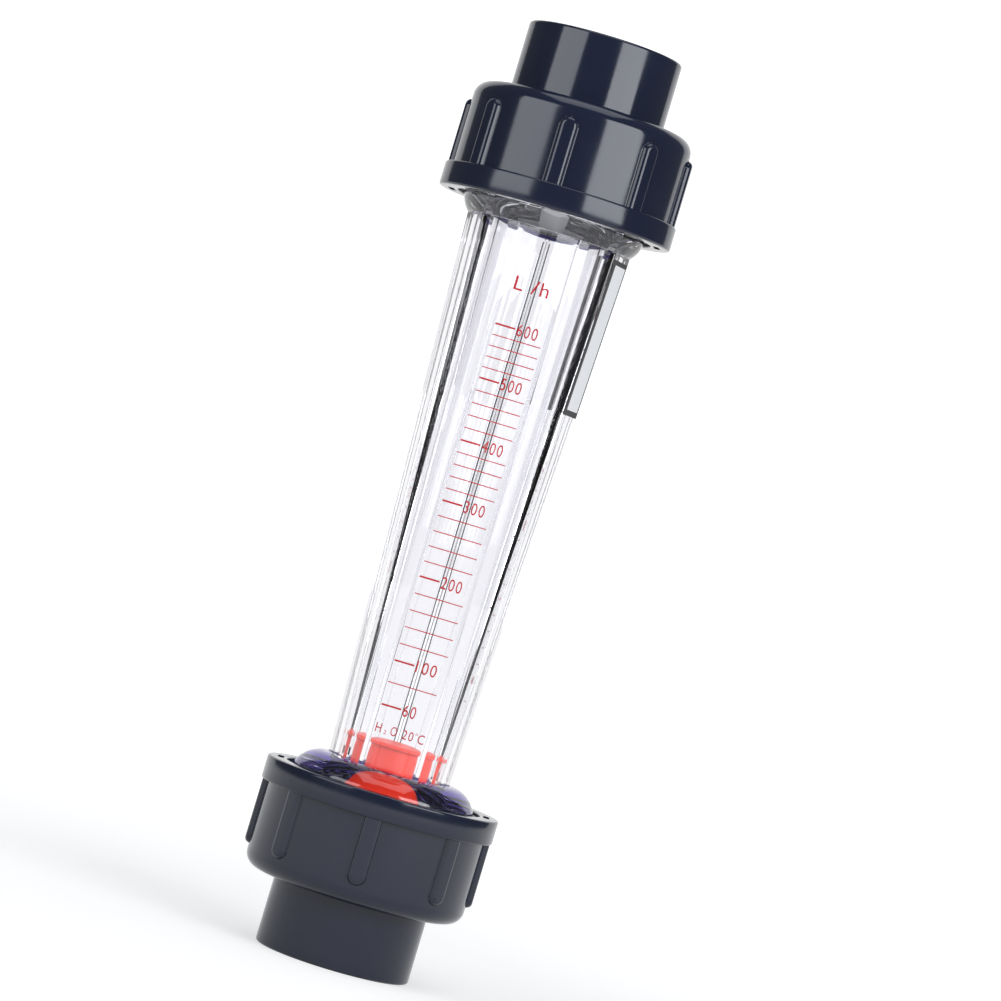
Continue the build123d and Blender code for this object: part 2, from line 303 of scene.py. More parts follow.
tubeShape = {
    "frontHalf": 6.5,  # half width of the flat front
    "sideLow": 13.1,  # half width over the side corners, at the lower dome
    "sideHigh": 17.6,
    "cornerInset": 3.25,
    "sideFacetTurn": 71,
    "slantFacetTurn": 39,
    "edgeRounding": 0.24,
    "boreLow": 9.2,
    "boreHigh": 13.2,
    "lowerDome": 4.0,
    "upperDome": 3.8,
    "lowerDomeTop": 13.0,
    "upperDomeLow": 17.5,
    "lowerBulge": 0.9,
    "upperBulge": 0.3,
    "seatRecess": 12.05,
    "stopRecess": 15.05,
    "recessDepth": 3.0,
    "domeSteps": 14,
    "turnSteps": 180,
}
thread = {
    "pitch": 2.309,
    "crest": 20.5,
    "depth": 1.1,
    "length": 12.7,
    "leadIn": 0.6,
    "flankSlope": 2.9,
    "rootFlat": 0.2,
    "tubeFade": 1.4,  # the tube's thread rises from its root over this length
    "nutStart": 0.7,  # the nut's thread starts this deep in the mouth
    "nutFadeIn": 2.0,  # and is full this deep
    "nutFadeOut": 3.0,  # and sinks over this length, before the end wall
    "rowSpacing": 0.17,
}
guideRib = {
    "count": 3,
    "tip": 8.75,
    "tipHalf": 0.12,
    "baseHalf": 1.11,
    "rootDepth": 0.8,
    "flare": 0.04,
}
neck = thread["crest"] - thread["depth"]
bodyBottom = lowerMouth + tubeShape["lowerDome"]
bodyTop = upperMouth - tubeShape["upperDome"]


def upTheBody(low, high, level):
    return low + (high - low) * (level - bodyBottom) / (bodyTop - bodyBottom)


def boreAt(level):
    return upTheBody(tubeShape["boreLow"], tubeShape["boreHigh"], level)


cornerDepth = tubeShape["cornerInset"] * tan(radians(tubeShape["sideFacetTurn"]))


def frontDepth(level):
    slantRun = upTheBody(tubeShape["sideLow"], tubeShape["sideHigh"], level)
    slantRun -= tubeShape["cornerInset"] + tubeShape["frontHalf"]
    return cornerDepth + slantRun * tan(radians(tubeShape["slantFacetTurn"]))


def tubeSection(level):
    side = upTheBody(tubeShape["sideLow"], tubeShape["sideHigh"], level)
    corner = side - tubeShape["cornerInset"]
    front = tubeShape["frontHalf"]
    depth = frontDepth(level)
    right = [(front, -depth), (corner, -cornerDepth), (side, 0), (corner, cornerDepth), (front, depth)]
    return right + [(-x, y) for x, y in reversed(right)]


def threadRidge(level, angle):
    # 1 on the crest and 0 in the root of a right-hand thread, the same for tube and nuts
    phase = (level / thread["pitch"] - angle / fullTurn) % 1
    return min(1, max(0, (0.5 - abs(phase - 0.5)) * thread["flankSlope"] - thread["rootFlat"]))


def fade(value, start, end):
    share = min(1, max(0, (value - start) / (end - start)))
    return share * share * (3 - 2 * share)


def cutTubeThread(bm, low, high):
    for vert in bm.verts:
        radius = hypot(vert.co.x, vert.co.y)
        if low < vert.co.z < high and radius > neck + 0.1:
            ends = fade(vert.co.z, low, low + thread["tubeFade"])
            ends *= fade(vert.co.z, high, high - thread["tubeFade"])
            ridge = threadRidge(vert.co.z, atan2(vert.co.y, vert.co.x)) * ends
            wanted = neck + thread["depth"] * ridge
            vert.co.x *= wanted / radius
            vert.co.y *= wanted / radius


def tubeEnd(faceLevel, mouthLevel, domeLevel, domeRadius, bulge, name):
    # Threaded end, neck and dome, from the end face to the ten-sided body
    inward = 1 if domeLevel > faceLevel else -1
    crest = thread["crest"]
    threadStart = faceLevel + inward * thread["leadIn"]
    threadEnd = faceLevel + inward * thread["length"]
    middle = ((neck + domeRadius) / 2 + bulge, (mouthLevel + domeLevel) / 2 + inward * bulge)
    dome = arcThrough((neck, mouthLevel), middle, (domeRadius, domeLevel), tubeShape["domeSteps"])
    outline = [Vector((0, faceLevel)), Vector((crest - thread["leadIn"], faceLevel))]
    outline += withRows((crest, threadStart), (crest, threadEnd), thread["rowSpacing"])
    outline += [Vector((neck, threadEnd))] + dome + [Vector((0, domeLevel))]
    bm = turned(outline, tubeShape["turnSteps"])
    cutTubeThread(bm, min(threadStart, threadEnd) - 0.01, max(threadStart, threadEnd) + 0.01)
    return asObject(bm, name)


def guideSection(level, angle):
    surface = boreAt(level)
    flare = guideRib["flare"]
    base = guideRib["baseHalf"]
    side = [
        (guideRib["tip"], guideRib["tipHalf"]),
        (surface - flare, base),
        (surface - 0.45 * flare, base + 0.3 * flare),
        (surface - 0.1 * flare, base + flare),
        (surface + guideRib["rootDepth"], base + flare),
    ]
    points = side + [(x, -y) for x, y in reversed(side)]
    return [(x * cos(angle) - y * sin(angle), x * sin(angle) + y * cos(angle)) for x, y in points]


def smoothBore(mesh):
    # True cone normals inside, so that the wall bends light without ripples
    widening = (tubeShape["boreHigh"] - tubeShape["boreLow"]) / (bodyTop - bodyBottom)
    normals = [Vector(corner.vector) for corner in mesh.corner_normals]
    for polygon in mesh.polygons:
        places = [mesh.vertices[index].co / mm for index in polygon.vertices]
        if all(abs(hypot(place.x, place.y) - boreAt(place.z)) < 0.01 for place in places):
            for loop, place in zip(polygon.loop_indices, places):
                radius = hypot(place.x, place.y)
                normals[loop] = Vector((-place.x / radius, -place.y / radius, widening)).normalized()
    mesh.normals_split_custom_set(normals)


def makeTube():
    bodyLow = bodyBottom - tubeShape["lowerDome"]
    bm = loftedBar(tubeSection(bodyLow), bodyLow, tubeSection(bodyTop + 1), bodyTop + 1)
    longEdges = [edge for edge in bm.edges if abs(edge.verts[0].co.z - edge.verts[1].co.z) > 1]
    bmesh.ops.bevel(
        bm, geom=longEdges, offset=tubeShape["edgeRounding"], offset_type="OFFSET",
        segments=3, profile=0.5, affect="EDGES", material=-1, clamp_overlap=True,
    )
    tube = asObject(bm, "clearTube")
    lowerEnd = tubeEnd(
        tubeBottom, lowerMouth, bodyBottom,
        tubeShape["lowerDomeTop"], tubeShape["lowerBulge"], "lowerTubeEnd",
    )
    combine(tube, lowerEnd, "UNION")
    upperEnd = tubeEnd(
        tubeTop, upperMouth, bodyTop,
        tubeShape["upperDomeLow"], tubeShape["upperBulge"], "upperTubeEnd",
    )
    combine(tube, upperEnd, "UNION")

    seatTop = tubeBottom + tubeShape["recessDepth"]
    stopLow = tubeTop - tubeShape["recessDepth"]
    over = 1
    bore = asObject(turned([
        (0, tubeBottom - over),
        (tubeShape["seatRecess"], tubeBottom - over),
        (tubeShape["seatRecess"], seatTop),
        (boreAt(seatTop), seatTop),
        (boreAt(stopLow), stopLow),
        (tubeShape["stopRecess"], stopLow),
        (tubeShape["stopRecess"], tubeTop + over),
        (0, tubeTop + over),
    ], tubeShape["turnSteps"]), "boreTool")
    ribs = bmesh.new()
    for index in range(guideRib["count"]):
        angle = pi / 2 + fullTurn * index / guideRib["count"]
        loftedBar(guideSection(bodyBottom, angle), bodyBottom, guideSection(stopLow, angle), stopLow, ribs)
    combine(bore, asObject(ribs, "ribTool"), "DIFFERENCE")
    combine(tube, bore, "DIFFERENCE")
    tube = finishPiece(tube, "tube", clearPlastic, "measuring_tube", flatAreas=True)
    smoothBore(tube.data)
    tube.visible_shadow = False  # lamps reach the float through the clear wall
    return tube


clearTube = makeTube()
print("measuring tube: %d faces" % len(clearTube.data.polygons))


# Union nuts

nutShape = {
    "length": 23.3,
    "radius": 23.5,
    "hole": 16.8,
    "endWall": 4.0,
    "endRounding": 3.2,
    "bore": 20.9,
    "collar": 25.0,
    "collarHeight": 5.1,
    "collarRounding": 0.45,
    "slotInner": 21.65,
    "slotWidth": 1.3,
    "slotDepth": 1.6,
    "slotLength": 5.8,
    "slotSteps": 10,
    "gripCount": 8,
    "gripWidth": 3.8,
    "gripLength": 14.0,
    "gripRise": 1.1,
    "gripRounding": 1.05,
    "gripMargin": 0.5,  # the wall's fine mesh is this much wider than a rib, in all
    "gripSteps": 34,
    "gapSteps": 10,
    "roundEnd": 3.0,  # fine rows reach this far along each rib from its round end
    "fineRows": 0.14,
    "coarseRows": 2.5,
    "edge": 0.25,
}


def nutOutline():
    shape = nutShape
    mouth = shape["length"]
    collarStart = mouth - shape["collarHeight"]
    fineTop = (shape["radius"], collarStart - shape["gripLength"] + shape["roundEnd"])
    edge = shape["edge"]
    outline = roundedOutline([
        (shape["bore"], shape["endWall"], 0),
        (shape["hole"], shape["endWall"], 0),
        (shape["hole"], 0, edge),
        (shape["radius"], 0, shape["endRounding"]),
        (shape["radius"], shape["endRounding"] + 0.3, 0),
    ], 9)
    outline += withRows(outline[-1], fineTop, shape["fineRows"])[1:]
    outline += withRows(fineTop, (shape["radius"], collarStart), shape["coarseRows"])
    outline += roundedOutline([
        (shape["radius"], collarStart, 0),
        (shape["collar"], collarStart, shape["collarRounding"]),
        (shape["collar"], mouth, shape["collarRounding"]),
        (shape["bore"], mouth, edge),
        (shape["bore"], mouth - 0.6, 0),
    ])
    threadLow = (shape["bore"], shape["endWall"] + 0.2)
    outline += withRows(outline[-1], threadLow, thread["rowSpacing"])[1:]
    return outline


def gripRise(radius, angle, height):
    # How far the nearest grip rib lifts the wall at this place
    shape = nutShape
    pitch = fullTurn / shape["gripCount"]
    across = radius * ((angle + pitch / 2) % pitch - pitch / 2)
    half = shape["gripWidth"] / 2
    roundCentre = shape["length"] - shape["collarHeight"] - shape["gripLength"] + half
    outside = hypot(across, min(0, height - roundCentre)) - half
    share = min(1, max(0, -outside / shape["gripRounding"]))
    return shape["gripRise"] * sqrt(1 - (1 - share) ** 2)


def mouthSlots(mouthLevel, up, frontTurn):
    # Tool that cuts one curved slot behind each grip rib
    shape = nutShape
    steps = shape["slotSteps"]
    inner = shape["slotInner"]
    outer = inner + shape["slotWidth"]
    span = shape["slotLength"] / inner
    deep = mouthLevel - up * shape["slotDepth"]
    over = mouthLevel + up
    bm = bmesh.new()
    for index in range(shape["gripCount"]):
        middle = radians(frontTurn - 90) + fullTurn * index / shape["gripCount"]
        rings = []
        for step in range(steps + 1):
            angle = middle + span * (step / steps - 0.5)
            rings.append([
                bm.verts.new((radius * cos(angle), radius * sin(angle), level))
                for radius, level in ((inner, deep), (outer, deep), (outer, over), (inner, over))
            ])
        for first, second in zip(rings, rings[1:]):
            for side in range(4):
                bm.faces.new((first[side], first[side - 1], second[side - 1], second[side]))
        bm.faces.new(rings[0])
        bm.faces.new(rings[-1])
    bmesh.ops.recalc_face_normals(bm, faces=bm.faces)
    return asObject(bm, "slotTool")


def makeNut(name, node, body, mouthLevel, up, frontTurn):
    # up is 1 where the mouth looks up; frontTurn puts one rib that far round from the front
    shape = nutShape
    pitch = fullTurn / shape["gripCount"]
    ribSpan = (shape["gripWidth"] + shape["gripMargin"]) / shape["radius"]
    spin = {"cent": (0, 0, 0), "axis": (0, 0, 1)}
    bm = bmesh.new()
    verts = [bm.verts.new((point[0], 0, point[1])) for point in nutOutline()]
    edges = [bm.edges.new((verts[index - 1], vert)) for index, vert in enumerate(verts)]
    bmesh.ops.rotate(bm, verts=verts, cent=(0, 0, 0), matrix=Matrix.Rotation(-ribSpan / 2, 3, "Z"))
    ribPart = bmesh.ops.spin(bm, geom=verts + edges, angle=ribSpan, steps=shape["gripSteps"], **spin)
    bmesh.ops.spin(bm, geom=ribPart["geom_last"], angle=pitch - ribSpan, steps=shape["gapSteps"], **spin)
    sector = list(bm.verts) + list(bm.edges) + list(bm.faces)
    for index in range(1, shape["gripCount"]):
        copy = bmesh.ops.duplicate(bm, geom=sector)
        copied = [each for each in copy["geom"] if isinstance(each, bmesh.types.BMVert)]
        bmesh.ops.rotate(bm, verts=copied, cent=(0, 0, 0), matrix=Matrix.Rotation(pitch * index, 3, "Z"))
    bmesh.ops.remove_doubles(bm, verts=bm.verts, dist=0.002)
    collarStart = shape["length"] - shape["collarHeight"]
    for vert in bm.verts:
        radius = hypot(vert.co.x, vert.co.y)
        if abs(radius - shape["radius"]) < 0.01 and vert.co.z < collarStart + 0.01:
            lift = gripRise(radius, atan2(vert.co.y, vert.co.x), vert.co.z)
            vert.co.x *= 1 + lift / radius
            vert.co.y *= 1 + lift / radius
    turnBy = Matrix.Rotation(radians(frontTurn - 90), 3, "Z")
    if up < 0:
        turnBy = turnBy @ Matrix.Rotation(pi, 3, "X")
    bmesh.ops.rotate(bm, verts=bm.verts, cent=(0, 0, 0), matrix=turnBy)
    bmesh.ops.translate(bm, verts=bm.verts, vec=(0, 0, mouthLevel - up * shape["length"]))
    start = thread["nutStart"]
    wallDepth = shape["length"] - shape["endWall"]
    for vert in bm.verts:
        radius = hypot(vert.co.x, vert.co.y)
        deep = (mouthLevel - vert.co.z) * up
        if abs(radius - shape["bore"]) < 0.01 and start < deep < wallDepth - 0.1:
            ends = fade(deep, start, thread["nutFadeIn"])
            ends *= fade(deep, wallDepth, wallDepth - thread["nutFadeOut"])
            ridge = 1 - threadRidge(vert.co.z, atan2(vert.co.y, vert.co.x))
            wanted = radius - thread["depth"] * ridge * ends
            vert.co.x *= wanted / radius
            vert.co.y *= wanted / radius
    bmesh.ops.recalc_face_normals(bm, faces=bm.faces)
    nut = asObject(bm, name)
    combine(nut, mouthSlots(mouthLevel, up, frontTurn), "DIFFERENCE")
    return finishPiece(nut, body, darkPlastic, node, sharp=38)


lowerNut = makeNut("lowerNut", "lower_union_nut", "lower_nut", lowerMouth, 1, 0)
makeNut("upperNut", "upper_union_nut", "upper_nut", upperMouth, -1, -6)
print("union nuts: %d faces each" % len(lowerNut.data.polygons))


# Pipe connectors

connectorShape = {
    "stub": 16.5,
    "socket": 10.0,
    "socketDepth": 16.0,
    "passage": 7.5,
    "flange": 20.3,
    "flangeThickness": 5.0,
    "outerEdge": 0.6,
    "socketEdge": 0.6,
    "socketFloorEdge": 0.2,
    "innerEdge": 0.3,
    "grooveRadius": 16.4,
    "grooveWidth": 3.5,
    "grooveDepth": 1.7,
}


def makeConnector(name, node, body, endLevel, up):
    shape = connectorShape
    length = lowerFlangeTop - lowerStubEnd
    flangeStart = length - shape["flangeThickness"]
    grooveOuter = shape["grooveRadius"] + shape["grooveWidth"] / 2
    grooveInner = shape["grooveRadius"] - shape["grooveWidth"] / 2
    bm = turned(roundedOutline([
        (shape["passage"], shape["socketDepth"], shape["innerEdge"]),
        (shape["socket"], shape["socketDepth"], shape["socketFloorEdge"]),
        (shape["socket"], 0, shape["socketEdge"]),
        (shape["stub"], 0, shape["outerEdge"]),
        (shape["stub"], flangeStart, 0),
        (shape["flange"], flangeStart, shape["innerEdge"]),
        (shape["flange"], length, shape["innerEdge"]),
        (grooveOuter, length, 0),
        (grooveOuter, length - shape["grooveDepth"], 0),
        (grooveInner, length - shape["grooveDepth"], 0),
        (grooveInner, length, 0),
        (shape["passage"], length, shape["innerEdge"]),
    ]))
    if up < 0:
        bmesh.ops.rotate(bm, verts=bm.verts, cent=(0, 0, 0), matrix=Matrix.Rotation(pi, 3, "X"))
    bmesh.ops.translate(bm, verts=bm.verts, vec=(0, 0, endLevel))
    return finishPiece(asObject(bm, name), body, darkPlastic, node)


makeConnector("lowerConnector", "lower_connector", "lower_coupling", lowerStubEnd, 1)
makeConnector("upperConnector", "upper_connector", "upper_coupling", upperStubEnd, -1)
print("connectors made")


# Seal rings, squeezed against the tube's end face

sealShape = {
    "inner": 14.8,
    "outer": 18.0,
    "edge": 0.3,
    "squeeze": 0.05,  # pressed this far into the end face, so it shows through the clear wall
    "lipInner": 12.4,
    "lipOuter": 19.2,
    "lip": 0.12,
    "turnSteps": 128,
}


def makeSeal(name, node, body, tubeEndLevel, up):
    shape = sealShape
    low, high = spanOf(node)
    deep = low if up > 0 else high
    face = tubeEndLevel + up * shape["squeeze"]
    lip = face - up * (shape["squeeze"] + shape["lip"])
    bm = turned(roundedOutline([
        (shape["inner"], deep, shape["edge"]),
        (shape["outer"], deep, shape["edge"]),
        (shape["outer"], lip, 0),
        (shape["lipOuter"], lip, 0),
        (shape["lipOuter"], face, 0),
        (shape["lipInner"], face, 0),
        (shape["lipInner"], lip, 0),
        (shape["inner"], lip, 0),
    ]), shape["turnSteps"])
    return finishPiece(asObject(bm, name), body, sealRubber, node)


makeSeal("lowerSeal", "lower_seal_ring", "lower_coupling", tubeBottom, 1)
makeSeal("upperSeal", "upper_seal_ring", "upper_coupling", tubeTop, -1)


# Float

floatShape = {
    "radius": 8.1,
    "lip": 8.5,
    "lipHeight": 0.8,
    "waist": 7.95,
    "waistHeight": 0.9,
    "nose": 4.6,
    "noseHeight": 6.0,
    "weightHole": 3.22,
    "weightLength": 13.0,
    "holeRounding": 0.15,
    "tipRounding": 0.5,
    "shoulderRounding": 1.2,
    "waistRounding": 0.1,
    "lipLowRounding": 0.15,
    "lipHighRounding": 0.2,
    "turnSteps": 128,
}


def makeFloat():
    shape = floatShape
    lipLow = floatTop - shape["lipHeight"]
    bm = turned(roundedOutline([
        (0, floatBottom + shape["weightLength"], 0),
        (shape["weightHole"], floatBottom + shape["weightLength"], 0),
        (shape["weightHole"], floatBottom, shape["holeRounding"]),
        (shape["nose"], floatBottom, shape["tipRounding"]),
        (shape["radius"], floatBottom + shape["noseHeight"], shape["shoulderRounding"]),
        (shape["radius"], lipLow - 2 * shape["waistHeight"], 0),
        (shape["waist"], lipLow - shape["waistHeight"], 0),
        (shape["waist"], lipLow, shape["waistRounding"]),
        (shape["lip"], lipLow, shape["lipLowRounding"]),
        (shape["lip"], floatTop, shape["lipHighRounding"]),
        (0, floatTop, 0),
    ]), shape["turnSteps"])
    return finishPiece(asObject(bm, "floatBody"), "float", redPlastic, "float_body")


floatBody = makeFloat()
print("float: %d faces" % len(floatBody.data.polygons))


# Scale numerals and units on the flat front

scaleText = {
    "numberHeight": 2.55,
    "numberLeft": -0.65,
    "numberWidth": 4.3,
    "film": 0.03,
    "lift": 0.02,
    "bold": 0.001,
    "spacing": 1.18,
    "pairWidth": 0.62,  # width of two digits, as a share of three
}
scaleNumbers = {  # text and the level of its middle
    "60": 54.99,
    "100": 64.38,
    "200": 82.33,
    "300": 98.58,
    "400": 111.49,
    "500": 124.78,
    "600": 136.31,
}


def frontText(name, text, left, width, level, height):
    # Flat print, stretched to its own width and height on the leaning front
    curve = bpy.data.curves.new(name, "FONT")
    curve.body = text
    curve.size = height
    curve.extrude = scaleText["film"] / 2
    curve.offset = scaleText["bold"] * height
    curve.space_character = scaleText["spacing"]
    curve.resolution_u = 6
    piece = bpy.data.objects.new(name, curve)
    bpy.context.collection.objects.link(piece)
    graph = bpy.context.evaluated_depsgraph_get()
    mesh = bpy.data.meshes.new_from_object(piece.evaluated_get(graph))
    bpy.data.objects.remove(piece)
    xs = [vert.co.x for vert in mesh.vertices]
    ys = [vert.co.y for vert in mesh.vertices]
    for vert in mesh.vertices:
        x = left + (vert.co.x - min(xs)) / (max(xs) - min(xs)) * width
        up = ((vert.co.y - min(ys)) / (max(ys) - min(ys)) - 0.5) * height
        out = frontDepth(level + up) + scaleText["lift"] + scaleText["film"] / 2 + vert.co.z
        vert.co = (x, -out, level + up)
    piece = bpy.data.objects.new(name, mesh)
    bpy.context.collection.objects.link(piece)
    return finishPiece(piece, "tube", redInk)


for text, level in scaleNumbers.items():
    width = scaleText["numberWidth"] * (1 if len(text) == 3 else scaleText["pairWidth"])
    frontText("number" + text, text, scaleText["numberLeft"], width, level, scaleText["numberHeight"])

unitText = {"level": 145.5, "height": 2.9}
unitLetters = {  # text, left and width
    "unitLitre": ("L", -3.9, 1.9),
    "unitStroke": ("/", -0.3, 1.5),
    "unitHour": ("h", 1.6, 1.75),
}
for name, letter in unitLetters.items():
    frontText(name, *letter, unitText["level"], unitText["height"])


# Scale bars

scaleBars = {
    "left": -5.33,
    "majorRight": -1.1,
    "minorRight": 4.98,
    "majorThickness": 0.37,
    "minorThickness": 0.21,
    "lift": 0.01,
    "film": 0.05,
    "minorsPerHundred": 4,
    "levelOfEighty": 59.78,
}


def makeScaleBars():
    shape = scaleBars
    levels = list(scaleNumbers.values())
    bars = [(level, shape["majorRight"], shape["majorThickness"]) for level in levels]
    minors = [shape["levelOfEighty"]]
    for low, high in zip(levels[1:], levels[2:]):
        step = (high - low) / (shape["minorsPerHundred"] + 1)
        minors += [low + step * (index + 1) for index in range(shape["minorsPerHundred"])]
    bars += [(level, shape["minorRight"], shape["minorThickness"]) for level in minors]
    bm = bmesh.new()
    for level, right, thickness in bars:
        corners = []
        low, high = level - thickness / 2, level + thickness / 2
        for out in (shape["lift"], shape["lift"] + shape["film"]):
            for x, z in ((shape["left"], low), (right, low), (right, high), (shape["left"], high)):
                corners.append(bm.verts.new((x, -frontDepth(z) - out, z)))
        for face in ((0, 1, 2, 3), (4, 5, 6, 7), (0, 1, 5, 4), (1, 2, 6, 5), (2, 3, 7, 6), (3, 0, 4, 7)):
            bm.faces.new([corners[index] for index in face])
    bmesh.ops.recalc_face_normals(bm, faces=bm.faces)
    finishPiece(asObject(bm, "scaleBars"), "tube", redInk, "scale_marks")


makeScaleBars()

fluidLetters = {  # text, left, width, level of its middle and height
    "fluidH": ("H", -5.1, 1.2, 50.2, 1.95),
    "fluidTwo": ("2", -3.26, 0.6, 49.6, 0.85),
    "fluidO": ("O", -1.9, 1.3, 50.2, 1.95),
    "fluidTwenty": ("20", 0.6, 2.3, 50.2, 1.95),
    "fluidDegree": ("o", 3.15, 0.5, 50.95, 0.5),
    "fluidC": ("C", 3.9, 1.35, 50.2, 1.95),
}
for name, letter in fluidLetters.items():
    frontText(name, *letter)
print("scale text done")


# Painted shade: three fine dark lines along the rear guide rib, at its tip and its two feet, where the
# rib's edges look dark through the clear wall

paintedRibShade = {
    "footMiddle": 1.41,
    "footWidth": 0.5,
    "tipWidth": 0.22,
    "inside": 0.03,  # stands this far into the bore
    "pressedIn": 0.03,
    "margin": 0.8,
}


def paintedRibShadeSection(x, width, radius):
    # Thin bar of painted shade on the bore wall, or on the rib's tip, at the rear
    corners = []
    for offset, places in ((-paintedRibShade["inside"], (-0.5, 0.5)), (paintedRibShade["pressedIn"], (0.5, -0.5))):
        for place in places:
            across = x + place * width
            corners.append((across, sqrt(radius ** 2 - across ** 2) + offset))
    return corners


def makePaintedRibShade():
    low, high = bodyBottom + paintedRibShade["margin"], bodyTop - paintedRibShade["margin"]
    bm = bmesh.new()
    for x in (-paintedRibShade["footMiddle"], paintedRibShade["footMiddle"]):
        loftedBar(
            paintedRibShadeSection(x, paintedRibShade["footWidth"], boreAt(low)), low,
            paintedRibShadeSection(x, paintedRibShade["footWidth"], boreAt(high)), high, bm,
        )
    tip = paintedRibShadeSection(0, paintedRibShade["tipWidth"], guideRib["tip"])
    loftedBar(tip, low, tip, high, bm)
    # the dark film here is painted shade along the rib's edges, not a real film on the part
    finishPiece(asObject(bm, "paintedRibShade"), "tube", blackFilm)


makePaintedRibShade()


# Label on the right-hand side facet: white film in a dark frame

labelShape = {
    "width": 9.2,
    "height": 33.6,
    "thickness": 0.15,
    "pressedIn": 0.02,  # glued, so its back shows through the wall
    "belowDome": 1.3,
    "cornerLine": 1.7,  # black lines round the white film
    "outerLine": 0.6,
    "topBar": 1.0,
    "bottomBar": 1.2,
}


def makeLabel():
    shape = labelShape
    halfWidth = shape["width"] / 2
    halfHeight = shape["height"] / 2
    level = bodyTop - shape["belowDome"] - halfHeight
    columns = (-halfWidth, shape["cornerLine"] - halfWidth, halfWidth - shape["outerLine"], halfWidth)
    rows = (-halfHeight, shape["bottomBar"] - halfHeight, halfHeight - shape["topBar"], halfHeight)
    bm = bmesh.new()
    grid = [[bm.verts.new((x, y, 0)) for x in columns] for y in rows]
    for row in range(3):
        for column in range(3):
            face = bm.faces.new((
                grid[row][column], grid[row][column + 1], grid[row + 1][column + 1], grid[row + 1][column],
            ))
            face.material_index = 0 if row == 1 and column == 1 else 1
    backFaces = list(bm.faces)
    raised = bmesh.ops.extrude_face_region(bm, geom=backFaces, use_keep_orig=True)["geom"]
    for face in backFaces:
        face.material_index = 1  # the film's glued side is dark
    moved = [each for each in raised if isinstance(each, bmesh.types.BMVert)]
    bmesh.ops.translate(bm, verts=moved, vec=(0, 0, shape["thickness"]))
    bmesh.ops.recalc_face_normals(bm, faces=bm.faces)
    side = upTheBody(tubeShape["sideLow"], tubeShape["sideHigh"], level)
    lean = (tubeShape["sideHigh"] - tubeShape["sideLow"]) / (bodyTop - bodyBottom)
    across = Vector((tubeShape["cornerInset"], cornerDepth, 0)).normalized()
    outward = across.cross(Vector((lean, 0, 1))).normalized()
    upward = outward.cross(across)
    facetMiddle = Vector((side - tubeShape["cornerInset"] / 2, -cornerDepth / 2, level))
    place = Matrix((across, upward, outward)).transposed().to_4x4()
    place.translation = facetMiddle - outward * shape["pressedIn"]
    bmesh.ops.transform(bm, matrix=place, verts=bm.verts)
    finishPiece(asObject(bm, "sideLabel"), "tube", whiteFilm, "side_label", second=blackFilm)


makeLabel()


# CAD nodes that keep their shape and get a finish

for node, material in {
    "float_weight": turnedSteel,
    "lower_float_seat": violetPlastic,
    "upper_float_stop": whitePlastic,
}.items():
    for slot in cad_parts[node].material_slots:
        slot.material = material


# Camera: level with the middle of the tube, rolled as the photograph is

view = {
    "middle": 99.5,  # mm above the floor
    "distance": 893.0,
    "widthAtAxis": 208.1,
    "roll": 16.68,
    "shiftX": 0.0318,
    "shiftY": 0.0026,
    "sensor": 36.0,
    "clipStart": 0.01,  # m, as the one below
    "clipEnd": 20,
}
cameraData = bpy.data.cameras.new("camera")
cameraData.sensor_width = view["sensor"]
cameraData.lens = view["sensor"] * view["distance"] / view["widthAtAxis"]
cameraData.shift_x = view["shiftX"]
cameraData.shift_y = view["shiftY"]
cameraData.clip_start = view["clipStart"]
cameraData.clip_end = view["clipEnd"]
camera = bpy.data.objects.new("camera", cameraData)
bpy.context.collection.objects.link(camera)
roll = radians(view["roll"])
right = Vector((cos(roll), 0, sin(roll)))
up = Vector((-sin(roll), 0, cos(roll)))
back = Vector((0, -1, 0))
camera.matrix_world = Matrix((
    (right.x, up.x, back.x, 0),
    (right.y, up.y, back.y, -view["distance"] * mm),
    (right.z, up.z, back.z, view["middle"] * mm),
    (0, 0, 0, 1),
))
bpy.context.scene.camera = camera


# Studio, its lengths in metres: pale sweep, two tall soft lamps and one above.
# The clear wall bends some rays back to the front, and what they meet there is dark.

studio = {
    "sweepHalf": 1.3,
    "sweepBack": 1.4,  # a camera turned round the part stays in front of it
    "sweepFront": 1.3,
    "sweepHigh": 1.6,
    "sweepCurve": 0.35,
    "curveSteps": 12,
    "sweepColour": (0.5, 0.5, 0.505, 1),
    "lampDistance": 0.75,
    "leftTurn": -49.5,
    "rightTurn": 43.5,
    "lampWidth": 0.56,
    "lampLow": 0.13,
    "lampHeight": 0.46,
    "leftPower": 3.0,
    "rightPower": 4.8,
    "lampColour": (0.93, 0.96, 1.0),
    "topPlace": (0, -0.1, 1.1),
    "topAim": (0, 0, 0.1),
    "topSize": 0.8,
    "topPower": 3.5,
    "worldLevel": 0.12,
    "worldThroughClear": 0.9,
    "frontThroughClear": 0.17,
    "worldDark": (-0.97, -0.85),  # the ray's y where it is darkest and where it is full
    "floorDark": (-0.55, -0.2),  # the same for the floor's y
    "glowNear": 0.62,
    "glowFar": 1.0,
    "glowReach": (0.1, 0.5),  # distances from the part for the near and the far glow
    "glowThroughClear": 0.85,
}


